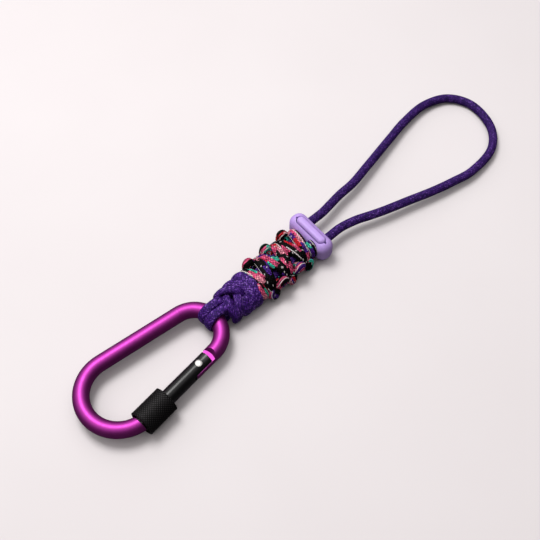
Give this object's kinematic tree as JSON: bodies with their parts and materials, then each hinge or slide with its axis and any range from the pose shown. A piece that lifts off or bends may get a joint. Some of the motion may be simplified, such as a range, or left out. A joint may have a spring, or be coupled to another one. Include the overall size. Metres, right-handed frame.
{
  "type": "locking carabiner",
  "caption": "Screw-lock D carabiner with a sprung gate, on a cord lanyard with a knotted hitch, a woven grip, a sliding cord lock and a wrist loop.",
  "frame": {"origin": "centre of the small end bend of the carabiner, in its mid-plane", "axes": "+X along the lanyard, away from the carabiner; +Y towards the spine; +Z normal to the carabiner's plane, up as it lies"},
  "size_m": [0.2582, 0.0489, 0.0138],
  "materials": {
    "anodised_magenta": "satin",
    "anodised_black": "satin",
    "knurled_black": "matte",
    "bright_steel": "satin",
    "spring_steel": "satin",
    "purple_cord": "matte",
    "multicolour_cord": "matte",
    "lavender_plastic": "satin",
    "white_yarn": "matte"
  },
  "bodies": {
    "carabiner": {"carabiner_body": "anodised_magenta"},
    "gate": {"gate": "anodised_black", "gate_rivet": "bright_steel", "latch_pin": "bright_steel", "gate_spring": "spring_steel"},
    "plunger": {"gate_plunger": "bright_steel"},
    "sleeve": {"locking_sleeve": "knurled_black"},
    "hitch": {"hitch_strand_left": "purple_cord", "hitch_strand_right": "purple_cord"},
    "lanyard": {"lanyard_knot": "purple_cord", "core_cord_left": "purple_cord", "core_cord_right": "purple_cord", "weave_cord": "multicolour_cord", "weave_cord_end_left": "multicolour_cord", "weave_cord_end_right": "multicolour_cord", "wrist_loop_sheath": "purple_cord", "wrist_loop_yarns": "white_yarn"},
    "cord_lock": {"cord_lock_housing": "lavender_plastic", "cord_lock_spring": "spring_steel"},
    "lock_button": {"cord_lock_button": "lavender_plastic"}
  },
  "joints": [
    {"name": "gate_hinge", "type": "hinge", "parent": "carabiner", "child": "gate", "pos_m": [-0.00797, -0.01346, 0], "axis": [0, 0, -1], "range_deg": [0, 25]},
    {"name": "plunger_slide", "type": "slide", "parent": "gate", "child": "plunger", "axis": [-0.994, -0.1098, 0], "range_m": [0, 0.00165], "deforming": ["gate_spring"]},
    {"name": "sleeve_travel", "type": "slide", "parent": "gate", "child": "sleeve", "axis": [-0.994, -0.1098, 0], "range_m": [-0.008, 0.0018]},
    {"name": "hitch_slide", "type": "hinge", "parent": "carabiner", "child": "hitch", "pos_m": [0, 0, 0], "axis": [0, 0, 1], "range_deg": [-25, 25]},
    {"name": "lanyard_swing", "type": "hinge", "parent": "hitch", "child": "lanyard", "pos_m": [0.01243, 0.0013, 0], "axis": [0.104, -0.9946, 0], "range_deg": [-80, 80]},
    {"name": "cord_lock_slide", "type": "slide", "parent": "lanyard", "child": "cord_lock", "axis": [1, 0, 0], "range_m": [0, 0.008]},
    {"name": "lock_button_press", "type": "slide", "parent": "cord_lock", "child": "lock_button", "axis": [0, 0, -1], "range_m": [0, 0.002], "deforming": ["cord_lock_spring"]}
  ],
  "couplings": [
    {"joint": "plunger_slide", "follows": "gate_hinge", "m_per_rad": 0.0036902}
  ]
}
